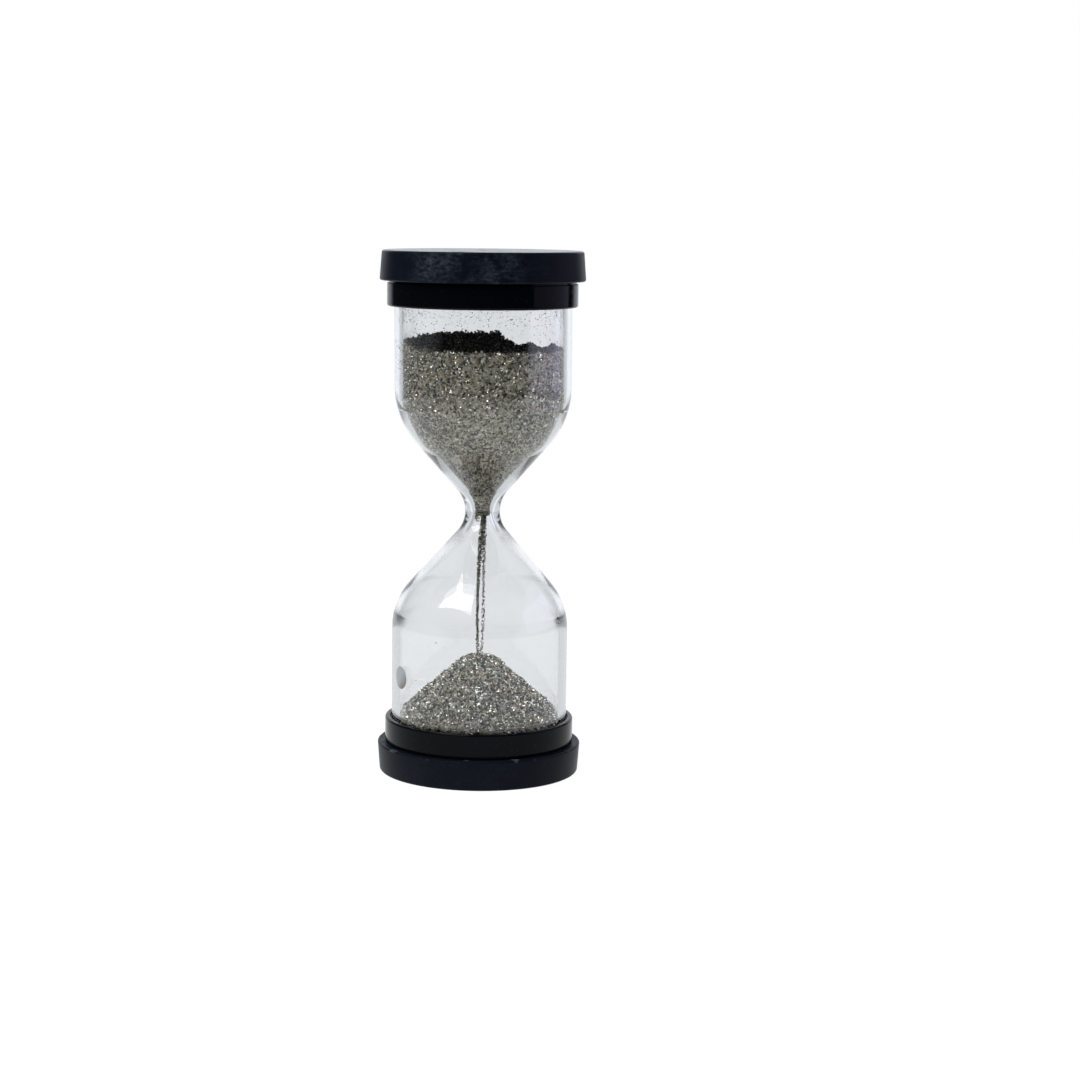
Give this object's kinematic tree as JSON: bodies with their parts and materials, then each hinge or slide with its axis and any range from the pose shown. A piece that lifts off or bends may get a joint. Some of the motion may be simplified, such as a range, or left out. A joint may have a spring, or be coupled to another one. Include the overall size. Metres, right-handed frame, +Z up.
{
  "type": "hourglass",
  "caption": "Small hourglass with two clear conical bulbs meeting at a narrow waist, black round end caps and collars, and dark glitter sand running through it.",
  "frame": {"origin": "centre of the flat underside of the lower end cap", "axes": "+Z up along the axis of the bulbs; +Y away from the front view; +X to the right of it"},
  "size_m": [0.0376, 0.0376, 0.0965],
  "materials": {
    "cap_black": "satin black moulding, lightly scuffed",
    "collar_black": "glossy black moulding",
    "clear_wall": "clear, polished",
    "inner_black": "matt dark moulding",
    "cushion": "fine closed-cell foam",
    "glue": "cured dark sealant",
    "disc": "thin dark film disc",
    "sand": "coarse grey-brown glitter sand with bright flakes"
  },
  "bodies": {
    "root": {"lower_end_cap": "cap_black", "upper_end_cap": "cap_black", "lower_collar": "collar_black", "upper_collar": "collar_black", "lower_bulb": "clear_wall", "upper_bulb": "clear_wall", "lower_plug": "inner_black", "upper_plug": "inner_black", "lower_pad": "cushion", "upper_pad": "cushion", "lower_glue_band": "glue", "upper_glue_band": "glue", "orifice_disc": "disc", "upper_sand": "sand", "lower_sand": "sand", "sand_stream": "sand"}
  },
  "joints": []
}
